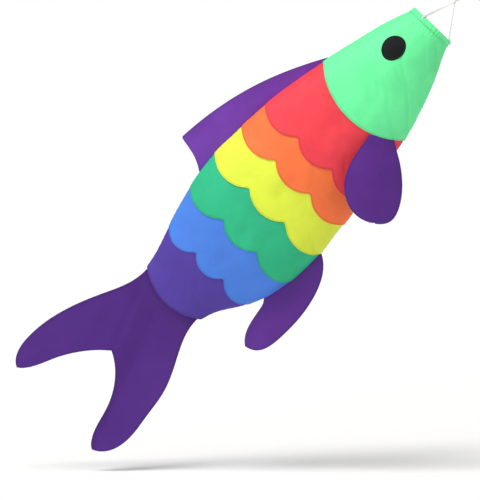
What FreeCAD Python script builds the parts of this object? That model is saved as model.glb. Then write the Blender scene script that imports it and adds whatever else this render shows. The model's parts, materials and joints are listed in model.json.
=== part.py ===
"""Rainbow fish windsock: a hooped cloth fish that hangs from a small swivel by a three-leg bridle.

The fish is built along its own axis, nose towards +X, back towards +Z, with the centre of the
mouth at (0, 0, 0) and stations measured backwards from the mouth. Every finished piece is then
tilted to its flying angle and moved, so that the centre of the swivel's hanging eye is the origin.
All sizes are in millimetres.
"""

import FreeCAD
import Part
import math
import os

from FreeCAD import Vector

# ---- flying angle and cloth ----
NOSE_UP_DEG = 46.0          # tilt of the fish's axis above the horizontal
CLOTH_WALL = 0.8            # thickness of every cloth solid
LAP_GAP = 0.4               # air between two overlapping layers of cloth
LAP_STEP = CLOTH_WALL + LAP_GAP
FIN_GAP = 0.5               # clearance of a loose fin from the body cloth

# ---- mouth: hoop, crimped ferrule and folded hem ----
HOOP_RADIUS = 53.6          # centre line of the wire
HOOP_WIRE_RADIUS = 1.5
HOOP_END_GAP_DEG = 3.0
FERRULE_WALL = 0.8
FERRULE_ARC_DEG = 22.0
WIRE_CLEARANCE = 0.05
CASING_CLEARANCE = 0.25     # ferrule to the cloth casing round it
HEM_WIDTH = 11.0            # from the mouth's plane back to the hem's stitched edge
HEM_FLARE = 1.0 / 3.0       # how fast the round mouth widens behind the hoop

# ---- body outline: (station, back height, belly depth, half thickness) ----
BODY_STATIONS = [
    (0.0, HOOP_RADIUS, HOOP_RADIUS, HOOP_RADIUS),
    (8.0, HOOP_RADIUS + 8 * HEM_FLARE, HOOP_RADIUS + 8 * HEM_FLARE, HOOP_RADIUS + 8 * HEM_FLARE),
    (12.0, HOOP_RADIUS + 12 * HEM_FLARE, HOOP_RADIUS + 12 * HEM_FLARE, HOOP_RADIUS + 12 * HEM_FLARE),
    (60.0, 76.0, 80.0, 62.0),
    (120.0, 93.0, 104.0, 66.0),
    (200.0, 112.0, 127.0, 70.0),
    (290.0, 131.0, 144.0, 73.0),
    (380.0, 144.0, 159.0, 75.0),
    (470.0, 149.0, 169.0, 75.0),
    (550.0, 150.0, 175.0, 72.0),
    (620.0, 140.0, 171.0, 66.0),
    (680.0, 126.0, 160.0, 56.0),
    (740.0, 107.0, 134.0, 42.0),
    (800.0, 89.0, 97.0, 26.0),
    (865.0, 79.0, 79.0, 18.0),
]
SECTION_PITCH = 12.0        # spacing of the cross-sections that a cloth panel is lofted through

# ---- head, scale rows and rear body ----
HEAD_EDGE_STATION = 225.0   # where the head's rear edge meets the back and belly seams
HEAD_EDGE_BULGE = 52.0      # how far the rear edge bows backwards between them
ROW_NAMES = ["red", "orange", "yellow", "green", "blue"]
ROW_CUSPS = [383.0, 455.0, 540.0, 631.0, 726.0]   # station of the points between scallops
SCALLOPS_PER_SIDE = 3
SCALLOP_DEPTH = 25.0
SEAM_LAP = 12.0             # how far a layer is tucked under the one ahead of it
REAR_EDGE_STATION = 829.0
REAR_EDGE_BULGE = 30.0

# ---- eye patches ----
EYE_STATION = 95.0
EYE_HEIGHT = 28.0
EYE_LENGTH = 60.0
EYE_DEPTH = 49.0

# ---- bridle ----
CORD_RADIUS = 0.9
CORD_CLEARANCE = 0.4
BRIDLE_REACH = 74.0         # from the mouth's plane forward to the bridle's knot
LEG_ANGLES_DEG = {"right": 60.0, "left": -60.0, "bottom": 180.0}   # from the top, towards -Y
TIE_KNOT_RADIUS = 2.3
APEX_KNOT_RADIUS = 3.4
LINK_SLACK = 0.2            # air where the knot's loop and the swivel's eye pull on each other

# ---- swivel ----
EYE_RING_RADIUS = 3.9       # centre line of the lower wire eye
EYE_WIRE_RADIUS = 0.9
STEM_RADIUS = 1.2
STEM_CLEARANCE = 0.08
STEM_HEAD_RADIUS = 2.2
STEM_HEAD_LENGTH = 1.4
BARREL_RADIUS = 3.6
BARREL_LENGTH = 11.0
BARREL_WALL = 1.0
BARREL_CHAMFER = 0.8
END_PLAY = 0.2              # gap between the barrel and each eye's shoulder
HANGING_BORE_RADIUS = 3.6
HANGING_RIM = 2.4
HANGING_THICKNESS = 2.4
HANGING_EDGE_FILLET = 0.4

# ---- fins ----
FIN_THICKNESS = 1.2
DORSAL_TOP = [(206.0, 114.0), (266.0, 147.0), (375.0, 193.0), (481.0, 219.0), (571.0, 229.0)]
DORSAL_TRAIL = [(571.0, 229.0), (576.0, 186.0), (600.0, 141.0)]
ANAL_OUTER = [(533.0, -168.0), (553.0, -199.0), (629.0, -236.0), (730.0, -243.0),
              (796.0, -223.0), (806.0, -199.0)]
ANAL_INNER = [(806.0, -199.0), (786.0, -181.0), (730.0, -166.0), (683.0, -152.0)]
TAIL_PLY = 1.0
TAIL_PLY_GAP = 0.4
TAIL_TONGUE_REACH = 12.0    # how far the tongue reaches into the rear body ahead of its edge
TAIL_TONGUE_HALF = 52.0
TAIL_SHOULDER = (832.0, 80.0)
TAIL_UPPER_EDGE = [(880.0, 86.0), (941.0, 112.0), (1008.0, 141.0), (1075.0, 160.0),
                   (1126.0, 165.0), (1172.0, 158.0), (1198.0, 136.0)]
TAIL_UPPER_INNER = [(1198.0, 136.0), (1176.0, 116.0), (1120.0, 88.0), (1064.0, 52.0), (1022.0, 9.0)]
TAIL_LOWER_EDGE = [(880.0, -86.0), (941.0, -113.0), (1008.0, -140.0), (1075.0, -150.0),
                   (1126.0, -156.0), (1180.0, -147.0), (1214.0, -112.0)]
TAIL_LOWER_INNER = [(1214.0, -112.0), (1187.0, -92.0), (1120.0, -72.0), (1064.0, -42.0), (1022.0, 9.0)]
PECTORAL_ROOT_REAR = (274.0, -68.0)    # (station, height) of the rear end of the root seam
PECTORAL_ROOT_FRONT = (245.0, -119.0)
PECTORAL_STANDOFF = 5.0                # root line to the body cloth, square to the side
PECTORAL_SPLAY_DEG = 9.0               # the fin's rest angle, out from hanging straight down
PECTORAL_LENGTH = 190.0
PECTORAL_WIDTH = 138.0
PECTORAL_SWEEP = -12.0                 # the tip's offset towards the front


def point(station, side, height):
    """A point of the fish: station behind the mouth, side towards +Y, height towards the back."""
    return Vector(-station, side, height)


def smooth_value(column, station):
    """One column of BODY_STATIONS, interpolated by a cubic through its neighbours."""
    rows = BODY_STATIONS
    last = len(rows) - 2
    i = max(0, min(last, sum(1 for r in rows if r[0] <= station) - 1))

    def slope(k):
        a, b = rows[max(0, k - 1)], rows[min(len(rows) - 1, k + 1)]
        return (b[column] - a[column]) / (b[0] - a[0])

    s0, s1 = rows[i][0], rows[i + 1][0]
    t = (station - s0) / (s1 - s0)
    h = s1 - s0
    return ((2 * t**3 - 3 * t**2 + 1) * rows[i][column] + (t**3 - 2 * t**2 + t) * h * slope(i)
            + (-2 * t**3 + 3 * t**2) * rows[i + 1][column] + (t**3 - t**2) * h * slope(i + 1))


def section(station, offset):
    """Centre height, half height and half thickness of the body's elliptical cross-section."""
    back, belly, half_thickness = (smooth_value(c, station) for c in (1, 2, 3))
    return (back - belly) / 2, (back + belly) / 2 + offset, half_thickness + offset


def half_arc(station, offset):
    """The +Y half of the cross-section's outline, from the back down to the belly."""
    centre, half_height, half_thickness = section(station, offset)
    middle = point(station, 0, centre)
    top = point(station, 0, centre + half_height)
    side = point(station, half_thickness, centre)
    if half_height - half_thickness < 1e-6:
        return Part.Arc(top, side, point(station, 0, centre - half_height)).toShape()
    return Part.ArcOfEllipse(Part.Ellipse(top, side, middle), 0, math.pi).toShape()


def half_section(station, offset, wall):
    """Closed wire round the +Y half of one cloth layer at a station."""
    outer, inner = half_arc(station, offset + wall), half_arc(station, offset)
    ends = [sorted(e.Vertexes, key=lambda v: -v.Z) for e in (outer, inner)]
    top = Part.makeLine(ends[0][0].Point, ends[1][0].Point)
    bottom = Part.makeLine(ends[0][1].Point, ends[1][1].Point)
    return Part.Wire(Part.__sortEdges__([outer, bottom, inner, top]))


def half_shell(start, end, offset_at, wall=CLOTH_WALL):
    """The +Y half of a cloth layer between two stations, lofted through its cross-sections."""
    count = max(3, math.ceil((end - start) / SECTION_PITCH) + 1)
    stations = [start + (end - start) * i / (count - 1) for i in range(count)]
    return Part.makeLoft([half_section(s, offset_at(s), wall) for s in stations], True, False)


def body_solid(start, end, offset):
    """A filled solid of the body's outline grown by offset, used to trim what sits on it."""
    count = max(3, math.ceil((end - start) / SECTION_PITCH) + 1)
    wires = []
    for i in range(count):
        station = start + (end - start) * i / (count - 1)
        arc = half_arc(station, offset)
        ends = sorted(arc.Vertexes, key=lambda v: -v.Z)
        wires.append(Part.Wire([arc, Part.makeLine(ends[0].Point, ends[1].Point)]))
    side = Part.makeLoft(wires, True, False)
    return side.fuse(mirrored(side))


def mirrored(shape):
    """The same piece on the other side of the fish."""
    return shape.mirror(Vector(0, 0, 0), Vector(0, 1, 0))


def prism(edges, half_width):
    """A prism through the fish from side to side, over a closed outline in its middle plane."""
    face = Part.Face(Part.Wire(Part.__sortEdges__(edges)))
    solid = face.extrude(Vector(0, 2 * half_width, 0))
    solid.translate(Vector(0, -half_width, 0))
    return solid


def behind(edge_points, bulge):
    """A cutter for all that lies behind a chain of arcs, which bow backwards by bulge."""
    reach = 400.0
    margin = 60.0
    chain = [point(station, 0, height) for station, height in edge_points]
    edges = []
    for a, b in zip(chain, chain[1:]):
        middle = (a + b) / 2 + Vector(-bulge, 0, 0)
        edges.append(Part.Arc(a, middle, b).toShape())
    above = chain[0] + Vector(0, 0, margin)
    below = chain[-1] - Vector(0, 0, margin)
    corners = [chain[-1], below, below - Vector(reach, 0, 0), above - Vector(reach, 0, 0), above, chain[0]]
    edges += [Part.makeLine(a, b) for a, b in zip(corners, corners[1:])]
    return prism(edges, reach / 2)


def lap_offset(lift_start, lift_end):
    """Offset of a layer that starts on the body line and rises over the layer behind it."""
    def at(station):
        t = max(0.0, min(1.0, (station - lift_start) / (lift_end - lift_start)))
        return LAP_STEP * t * t * (3 - 2 * t)
    return at


def head_panel():
    """Left half of the head, from behind the hem to its bowed rear edge."""
    start = casing_radius() - CLOTH_WALL / 2
    end = HEAD_EDGE_STATION + HEAD_EDGE_BULGE + 10.0
    lift_start = EYE_STATION + EYE_LENGTH / 2 + 10.0
    panel = half_shell(start, end, lap_offset(lift_start, HEAD_EDGE_STATION - SEAM_LAP))
    return panel.cut(behind(edge_line(HEAD_EDGE_STATION, LAP_STEP, 1), HEAD_EDGE_BULGE))


def edge_line(station, offset, arcs):
    """Ends of the arcs of a rear edge, spread evenly from the back seam to the belly seam."""
    centre, half_height, _ = section(station, offset + CLOTH_WALL)
    return [(station, centre + half_height * (1 - 2 * i / arcs)) for i in range(arcs + 1)]


def scale_panel(index):
    """Left half of one row of scales: its front edge is tucked in and its scallops lie free."""
    cusp = ROW_CUSPS[index]
    if index == 0:
        start = HEAD_EDGE_STATION - SEAM_LAP
        covered = HEAD_EDGE_STATION + HEAD_EDGE_BULGE
    else:
        start = ROW_CUSPS[index - 1] - SEAM_LAP
        covered = ROW_CUSPS[index - 1] + SCALLOP_DEPTH
    panel = half_shell(start, cusp + SCALLOP_DEPTH + 4.0, lap_offset(covered, cusp - SEAM_LAP))
    return panel.cut(behind(edge_line(cusp, LAP_STEP, SCALLOPS_PER_SIDE), SCALLOP_DEPTH))


def rear_panel():
    """Left half of the plain rear body, open at its bowed rear edge."""
    start = ROW_CUSPS[-1] - SEAM_LAP
    panel = half_shell(start, REAR_EDGE_STATION + REAR_EDGE_BULGE + 4.0, lambda s: 0.0)
    return panel.cut(behind(edge_line(REAR_EDGE_STATION, 0.0, 1), REAR_EDGE_BULGE))


def eye_patch():
    """Left eye: an oval of cloth that lies on the head."""
    reach = EYE_LENGTH / 2 + 6.0
    layer = half_shell(EYE_STATION - reach, EYE_STATION + reach, lambda s: LAP_STEP)
    oval = Part.Ellipse(point(EYE_STATION, 0, EYE_HEIGHT), EYE_LENGTH / 2, EYE_DEPTH / 2)
    outline = Part.Wire(oval.toShape())
    outline.rotate(point(EYE_STATION, 0, EYE_HEIGHT), Vector(1, 0, 0), 90)
    return layer.common(Part.Face(outline).extrude(Vector(0, 120, 0)))


def ring(major, minor, centre, axis):
    """A round wire ring."""
    return Part.makeTorus(major, minor, centre, axis)


def casing_radius():
    """Outer radius of the cloth casing that holds the hoop and its ferrule."""
    return HOOP_WIRE_RADIUS + WIRE_CLEARANCE + FERRULE_WALL + CASING_CLEARANCE + CLOTH_WALL


def mouth_hem():
    """Binding at the mouth: a casing round the hoop, and two legs that hold the head's edge."""
    outer_radius = casing_radius()
    inner_radius = outer_radius - CLOTH_WALL

    def leg_point(offset, behind_hoop):
        return Vector(-behind_hoop, 0, HOOP_RADIUS + offset + behind_hoop * HEM_FLARE)

    def where_leg_meets(offset, radius):
        a = 1 + HEM_FLARE**2
        b = offset * HEM_FLARE
        return leg_point(offset, (-b + math.sqrt(b * b - a * (offset * offset - radius * radius))) / a)

    def front_of(radius):
        return Vector(radius, 0, HOOP_RADIUS)

    offsets = {"top": LAP_STEP + CLOTH_WALL, "under_top": LAP_STEP,
               "over_bottom": -LAP_GAP, "bottom": -LAP_STEP}
    radii = {"top": outer_radius, "under_top": inner_radius,
             "over_bottom": inner_radius, "bottom": outer_radius}
    near = {k: where_leg_meets(offsets[k], radii[k]) for k in offsets}
    far = {k: leg_point(offsets[k], HEM_WIDTH) for k in offsets}
    edges = [Part.makeLine(near["top"], far["top"]), Part.makeLine(far["top"], far["under_top"]),
             Part.makeLine(far["under_top"], near["under_top"]),
             Part.Arc(near["under_top"], front_of(inner_radius), near["over_bottom"]).toShape(),
             Part.makeLine(near["over_bottom"], far["over_bottom"]),
             Part.makeLine(far["over_bottom"], far["bottom"]), Part.makeLine(far["bottom"], near["bottom"]),
             Part.Arc(near["bottom"], front_of(outer_radius), near["top"]).toShape()]
    face = Part.Face(Part.Wire(Part.__sortEdges__(edges)))
    return face.revolve(Vector(0, 0, 0), Vector(1, 0, 0), 360)


def arc_of_ring(major, minor, start_deg, sweep_deg):
    """Part of a ring round the fish's axis, from start_deg, where 90 is the top."""
    circle = Part.Face(Part.Wire(Part.makeCircle(minor, Vector(0, 0, major), Vector(0, 1, 0))))
    swept = circle.revolve(Vector(0, 0, 0), Vector(1, 0, 0), sweep_deg)
    swept.rotate(Vector(0, 0, 0), Vector(1, 0, 0), start_deg - 90)
    return swept


def mouth_hoop():
    """Spring wire ring, open by a small gap that the ferrule covers."""
    return arc_of_ring(HOOP_RADIUS, HOOP_WIRE_RADIUS, 90 + HOOP_END_GAP_DEG / 2, 360 - HOOP_END_GAP_DEG)


def hoop_ferrule():
    """Crimped sleeve over the two ends of the hoop."""
    bore = HOOP_WIRE_RADIUS + WIRE_CLEARANCE
    start = 90 - FERRULE_ARC_DEG / 2
    outside = arc_of_ring(HOOP_RADIUS, bore + FERRULE_WALL, start, FERRULE_ARC_DEG)
    return outside.cut(arc_of_ring(HOOP_RADIUS, bore, start - 1, FERRULE_ARC_DEG + 2))


def round_the_mouth(shape, angle_deg):
    """Turn a piece made at the top of the hoop round to its own place."""
    turned = shape.copy()
    turned.rotate(Vector(0, 0, 0), Vector(1, 0, 0), angle_deg)
    return turned


def tie_radius():
    return casing_radius() + CORD_CLEARANCE + CORD_RADIUS


def tie_loop(radius):
    """The turn of cord round the hem, at the top of the hoop."""
    return ring(tie_radius(), radius, Vector(0, 0, HOOP_RADIUS), Vector(0, 1, 0))


def apex():
    return Vector(BRIDLE_REACH, 0, 0)


def leg_line():
    """Ends of a leg's centre line: at its knot on the tie, and at the bridle's apex."""
    on_hoop = Vector(0, 0, HOOP_RADIUS)
    towards = (apex() - on_hoop).normalize()
    return on_hoop + towards * tie_radius(), apex()


def bridle_tie():
    """Turn of cord round the hem with its knot."""
    knot = Part.makeSphere(TIE_KNOT_RADIUS, leg_line()[0])
    casing = Part.makeCylinder(casing_radius() + CORD_CLEARANCE / 2, 4 * TIE_KNOT_RADIUS,
                               Vector(0, -2 * TIE_KNOT_RADIUS, HOOP_RADIUS), Vector(0, 1, 0))
    return tie_loop(CORD_RADIUS).fuse(knot.cut(casing)).removeSplitter()


def bridle_leg():
    """Straight leg of the bridle, from its tie to the apex knot, face to face with both."""
    start, end = leg_line()
    along = (end - start).normalize()
    leg = Part.makeCylinder(CORD_RADIUS, (end - start).Length, start, along)
    return leg.cut(Part.makeSphere(TIE_KNOT_RADIUS, start)).cut(Part.makeSphere(APEX_KNOT_RADIUS, end))


def apex_knot():
    """Knot of the three legs, with the loop of cord that goes through the swivel's lower eye."""
    loop_centre = apex() + Vector(APEX_KNOT_RADIUS + LINK_SLACK, 0, 0)
    loop = ring(APEX_KNOT_RADIUS, CORD_RADIUS, loop_centre, Vector(0, 0, 1))
    return Part.makeSphere(APEX_KNOT_RADIUS, apex()).fuse(loop).removeSplitter()


def lower_eye_centre():
    """The lower eye is linked through the knot's loop and pulls on its front end."""
    loop_front = apex().x + LINK_SLACK + 2 * APEX_KNOT_RADIUS
    wire = loop_front - CORD_RADIUS - LINK_SLACK - EYE_WIRE_RADIUS
    return Vector(wire + EYE_RING_RADIUS, 0, 0)


def barrel_start():
    return lower_eye_centre().x + EYE_RING_RADIUS + EYE_WIRE_RADIUS + END_PLAY


def hanging_eye_centre():
    edge = HANGING_BORE_RADIUS + HANGING_RIM
    return Vector(barrel_start() + BARREL_LENGTH + END_PLAY + edge, 0, 0)


def stem(shoulder_x, direction):
    """Stem and head of a swivel eye, from its shoulder into the barrel."""
    way = Vector(direction, 0, 0)
    start = Vector(shoulder_x, 0, 0)
    shank_length = END_PLAY + BARREL_WALL + STEM_CLEARANCE
    overlap = 0.6
    shank = Part.makeCylinder(STEM_RADIUS, shank_length + overlap, start - way * overlap, way)
    head = Part.makeCylinder(STEM_HEAD_RADIUS, STEM_HEAD_LENGTH, start + way * shank_length, way)
    return shank.fuse(head)


def swivel_lower_eye():
    centre = lower_eye_centre()
    eye = ring(EYE_RING_RADIUS, EYE_WIRE_RADIUS, centre, Vector(0, 1, 0))
    return eye.fuse(stem(centre.x + EYE_RING_RADIUS + EYE_WIRE_RADIUS, 1)).removeSplitter()


def swivel_hanging_eye():
    """Flat eye with a round hole, which hangs on a hook or pin, and its stem."""
    centre = hanging_eye_centre()
    edge = HANGING_BORE_RADIUS + HANGING_RIM
    base = centre - Vector(0, HANGING_THICKNESS / 2, 0)
    plate = Part.makeCylinder(edge, HANGING_THICKNESS, base, Vector(0, 1, 0))
    plate = plate.makeFillet(HANGING_EDGE_FILLET, plate.Edges)
    hole = Part.makeCylinder(HANGING_BORE_RADIUS, 2 * HANGING_THICKNESS,
                             centre - Vector(0, HANGING_THICKNESS, 0), Vector(0, 1, 0))
    return plate.fuse(stem(centre.x - edge, -1)).cut(hole).removeSplitter()


def swivel_barrel():
    """Hollow barrel that holds both stems' heads and lets them spin."""
    start = Vector(barrel_start(), 0, 0)
    along = Vector(1, 0, 0)
    shell = Part.makeCylinder(BARREL_RADIUS, BARREL_LENGTH, start, along)
    shell = shell.makeChamfer(BARREL_CHAMFER, [e for e in shell.Edges if e.Closed])
    cavity = Part.makeCylinder(STEM_HEAD_RADIUS + STEM_CLEARANCE, BARREL_LENGTH - 2 * BARREL_WALL,
                               start + along * BARREL_WALL, along)
    bores = Part.makeCylinder(STEM_RADIUS + STEM_CLEARANCE, BARREL_LENGTH + 2, start - along, along)
    return shell.cut(cavity.fuse(bores))


def spline(points_2d):
    """Smooth edge through (station, height) points in the middle plane."""
    curve = Part.BSplineCurve()
    curve.interpolate([point(s, 0, z) for s, z in points_2d])
    return curve.toShape()


def line(a, b):
    return Part.makeLine(point(a[0], 0, a[1]), point(b[0], 0, b[1]))


def flat_fin(edges, thickness):
    """A flat sheet in the middle plane, trimmed to clear the body."""
    sheet = prism(edges, thickness / 2)
    return sheet.cut(body_solid(180.0, 860.0, LAP_STEP + CLOTH_WALL + FIN_GAP))


def dorsal_fin():
    inside = [(598.0, 100.0), (206.0, 80.0)]
    edges = [spline(DORSAL_TOP), spline(DORSAL_TRAIL), line(DORSAL_TRAIL[-1], inside[0]),
             line(inside[0], inside[1]), line(inside[1], DORSAL_TOP[0])]
    return flat_fin(edges, FIN_THICKNESS)


def anal_fin():
    inside = [(680.0, -120.0), (540.0, -130.0)]
    edges = [spline(ANAL_OUTER), spline(ANAL_INNER), line(ANAL_INNER[-1], inside[0]),
             line(inside[0], inside[1]), line(inside[1], ANAL_OUTER[0])]
    return flat_fin(edges, FIN_THICKNESS)


def tail_ply():
    """Left ply of the forked tail; its tongue sits loose inside the rear body."""
    tongue = REAR_EDGE_STATION - TAIL_TONGUE_REACH
    shoulder_up, shoulder_down = TAIL_SHOULDER, (TAIL_SHOULDER[0], -TAIL_SHOULDER[1])
    corner_up, corner_down = (tongue, TAIL_TONGUE_HALF), (tongue, -TAIL_TONGUE_HALF)
    edges = [line(corner_down, corner_up), line(corner_up, shoulder_up),
             spline([shoulder_up] + TAIL_UPPER_EDGE), spline(TAIL_UPPER_INNER),
             spline(TAIL_LOWER_INNER), spline([shoulder_down] + TAIL_LOWER_EDGE),
             line(shoulder_down, corner_down)]
    face = Part.Face(Part.Wire(Part.__sortEdges__(edges)))
    ply = face.extrude(Vector(0, TAIL_PLY, 0))
    ply.translate(Vector(0, TAIL_PLY_GAP / 2, 0))
    return ply


def pectoral_hinge():
    """Rear and front ends of the left pectoral fin's root seam, just clear of the body."""
    ends = []
    for station, height in (PECTORAL_ROOT_REAR, PECTORAL_ROOT_FRONT):
        centre, half_height, half_thickness = section(station, LAP_STEP + CLOTH_WALL)
        share = (height - centre) / half_height
        side = half_thickness * math.sqrt(1 - share * share) + PECTORAL_STANDOFF
        ends.append(point(station, side, height))
    return ends


def down():
    """Straight down in the row frame, as seen in the fish's own frame."""
    a = math.radians(NOSE_UP_DEG)
    return Vector(-math.sin(a), 0, -math.cos(a))


def pectoral_fin():
    """Left pectoral fin: an egg-shaped sheet that hangs from its root seam, over the flank."""
    rear, front = pectoral_hinge()
    across = (front - rear).normalize()
    hanging_normal = across.cross(down()).normalize()
    hanging_drop = hanging_normal.cross(across).normalize()
    splay = math.radians(PECTORAL_SPLAY_DEG)
    drop = hanging_drop * math.cos(splay) + hanging_normal * math.sin(splay)
    normal = across.cross(drop)
    middle = (rear + front) / 2
    root_half = (front - rear).Length / 2

    def at(x, z):
        return middle + across * x + drop * z

    widest, tip = 0.62 * PECTORAL_LENGTH, PECTORAL_LENGTH
    half = PECTORAL_WIDTH / 2
    outline = [at(-root_half, 0), at(-half * 0.86 + PECTORAL_SWEEP * 0.4, 0.3 * tip),
               at(-half + PECTORAL_SWEEP * 0.8, widest),
               at(-half * 0.62 + PECTORAL_SWEEP, 0.9 * tip), at(PECTORAL_SWEEP * 0.4, tip),
               at(half * 0.72, 0.93 * tip), at(half * 0.98, 0.68 * tip),
               at(half * 0.86, 0.32 * tip), at(root_half, 0)]
    curve = Part.BSplineCurve()
    curve.interpolate(outline)
    face = Part.Face(Part.Wire([curve.toShape(), Part.makeLine(outline[-1], outline[0])]))
    sheet = face.extrude(normal * FIN_THICKNESS)
    sheet.translate(normal * (-FIN_THICKNESS / 2))
    return sheet


def placed(shape):
    """Move a piece from the fish's own frame to the row frame."""
    moved = shape.copy()
    moved.translate(-hanging_eye_centre())
    moved.rotate(Vector(0, 0, 0), Vector(0, 1, 0), -NOSE_UP_DEG)
    return moved


def build():
    """Every piece by its node name, in the fish's own frame."""
    pieces = {}

    def pair(name, left_shape):
        pieces[name + "_left"] = left_shape
        pieces[name + "_right"] = mirrored(left_shape)

    head = head_panel()
    hem = mouth_hem()
    for angle in LEG_ANGLES_DEG.values():
        cord_hole = round_the_mouth(tie_loop(CORD_RADIUS + CORD_CLEARANCE), angle)
        head = head.cut(cord_hole)
        hem = hem.cut(cord_hole)
    pair("head_panel", head)
    for index, name in enumerate(ROW_NAMES):
        pair(name + "_scale_row", scale_panel(index))
    pair("rear_body_panel", rear_panel())
    pair("eye_patch", eye_patch())
    pair("pectoral_fin", pectoral_fin())
    pair("tail_fin_ply", tail_ply())
    pieces["dorsal_fin"] = dorsal_fin()
    pieces["anal_fin"] = anal_fin()
    pieces["mouth_hem"] = hem
    pieces["mouth_hoop"] = mouth_hoop()
    pieces["hoop_ferrule"] = hoop_ferrule()
    pieces["bridle_knot"] = apex_knot()
    for name, angle in LEG_ANGLES_DEG.items():
        pieces["bridle_tie_" + name] = round_the_mouth(bridle_tie(), angle)
        pieces["bridle_leg_" + name] = round_the_mouth(bridle_leg(), angle)
    pieces["swivel_lower_eye"] = swivel_lower_eye()
    pieces["swivel_barrel"] = swivel_barrel()
    pieces["swivel_hanging_eye"] = swivel_hanging_eye()
    return pieces


os.makedirs("parts", exist_ok=True)
for node, shape in build().items():
    placed(shape).exportStep("parts/" + node + ".step")
    print(node, len(shape.Solids), "solids", round(shape.Volume), "mm3", "valid", shape.isValid())
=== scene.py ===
"""Dresses the rainbow fish windsock: cloth panels, loose fins, mouth hem, bridle cords and swivel.

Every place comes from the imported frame. Lengths are in metres. Points on the fish are given by
their station (distance behind the mouth), side (towards its left) and height (towards its back).
"""

import json
import math

import bmesh
import bpy
from bpy.props import FloatProperty, FloatVectorProperty, PointerProperty
from mathutils import Matrix, Vector, noise
from mathutils.bvhtree import BVHTree
from mathutils.kdtree import KDTree


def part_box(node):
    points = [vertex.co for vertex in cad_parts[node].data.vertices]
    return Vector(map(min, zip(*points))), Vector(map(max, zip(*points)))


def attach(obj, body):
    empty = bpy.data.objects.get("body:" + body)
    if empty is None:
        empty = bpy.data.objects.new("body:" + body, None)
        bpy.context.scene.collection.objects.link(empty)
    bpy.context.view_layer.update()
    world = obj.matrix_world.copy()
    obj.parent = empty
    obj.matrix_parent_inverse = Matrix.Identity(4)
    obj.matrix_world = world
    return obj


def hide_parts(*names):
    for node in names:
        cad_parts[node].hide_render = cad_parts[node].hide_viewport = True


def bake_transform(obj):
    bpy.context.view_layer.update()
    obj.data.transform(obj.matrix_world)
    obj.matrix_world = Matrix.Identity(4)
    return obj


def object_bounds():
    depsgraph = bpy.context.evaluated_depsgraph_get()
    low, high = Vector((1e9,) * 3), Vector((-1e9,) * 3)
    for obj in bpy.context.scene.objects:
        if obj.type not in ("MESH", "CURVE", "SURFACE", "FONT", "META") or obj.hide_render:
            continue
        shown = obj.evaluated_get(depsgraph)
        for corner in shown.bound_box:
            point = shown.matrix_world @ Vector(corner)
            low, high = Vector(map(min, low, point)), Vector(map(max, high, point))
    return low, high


bl_info = {
    "name": "Fish windsock",
    "version": (1, 0, 0),
    "blender": (4, 5, 0),
    "location": "3D View > Sidebar > Windsock",
    "description": "Makes the cloth, cords and finishes of a fish windsock on its packed frame",
    "category": "Object",
}

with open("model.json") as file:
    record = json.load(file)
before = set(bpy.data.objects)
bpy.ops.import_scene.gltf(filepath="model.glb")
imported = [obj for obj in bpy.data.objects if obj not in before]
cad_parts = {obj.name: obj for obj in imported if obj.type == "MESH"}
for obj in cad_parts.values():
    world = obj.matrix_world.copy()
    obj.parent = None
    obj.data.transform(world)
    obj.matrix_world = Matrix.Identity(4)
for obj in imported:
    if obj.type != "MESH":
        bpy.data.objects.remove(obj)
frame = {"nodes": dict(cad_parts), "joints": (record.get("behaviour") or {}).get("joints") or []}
CAD_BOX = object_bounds()

MM = 0.001
ROW_COLOURS = ("red", "orange", "yellow", "green", "blue")
BANDS = ["head_panel"] + [c + "_scale_row" for c in ROW_COLOURS] + ["rear_body_panel"]
SIDES = {"left": 1.0, "right": -1.0}
LEGS = ("right", "left", "bottom")

SAME_SURFACE = 0.1 * MM    # crossings closer than this are one
PAST_SURFACE = 0.02 * MM   # a ray starts again this far behind its last crossing
OFF_PLANE = 0.13 * MM      # rays run this far beside a fin's middle, clear of its mesh edges
FIN_REACH = 0.4            # from the body's axis to well outside the dorsal and anal fins
SPAN_REACH = 0.3           # from a middle line to well outside the pectorals and the tail
PANEL_REACH = 0.35         # from the body's axis to well outside its panels
HOOP_WIRE_RADIUS = 1.5 * MM
TIE_CIRCLE = 57 * MM       # radius of the mouth hem where the bridle is tied
MOUTH_RIPPLES = 46         # gathers round the mouth


# ---- the fish's own axes

def joint(name):
    return next(j for j in frame["joints"] if j["name"] == name)


def box_centre(node):
    low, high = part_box(node)
    return (Vector(low) + Vector(high)) / 2


FORWARD = Vector(joint("swivel_lower_spin")["axis"]).normalized()
LEFT = Vector((0.0, 1.0, 0.0))
UP = FORWARD.cross(LEFT)
MOUTH = FORWARD * box_centre("mouth_hoop").dot(FORWARD)
HOOP_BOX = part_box("mouth_hoop")
HOOP_RADIUS = (HOOP_BOX[1][1] - HOOP_BOX[0][1]) / 2 - HOOP_WIRE_RADIUS


def fish_point(station, side, height):
    return MOUTH - FORWARD * station + LEFT * side + UP * height


def fish_place(point):
    """Station, side and height of a point."""
    d = point - MOUTH
    return -d.dot(FORWARD), d.dot(LEFT), d.dot(UP)


# ---- reading the frame's surfaces

def tree_of(nodes):
    points = []
    faces = []
    for node in nodes:
        mesh = frame["nodes"][node].data
        start = len(points)
        points += [v.co.copy() for v in mesh.vertices]
        faces += [[start + i for i in p.vertices] for p in mesh.polygons]
    return BVHTree.FromPolygons(points, faces)


def crossings(tree, origin, direction, reach):
    """Distances at which a ray passes through a closed surface, in order."""
    found = []
    travelled = 0.0
    while travelled < reach:
        hit = tree.ray_cast(origin + direction * travelled, direction, reach - travelled)
        if hit[0] is None:
            return found
        travelled += hit[3]
        if not found or travelled - found[-1] > SAME_SURFACE:
            found.append(travelled)
        travelled += PAST_SURFACE
    return found


def stations_of(node):
    values = [fish_place(v.co)[0] for v in frame["nodes"][node].data.vertices]
    return min(values), max(values)


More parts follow.
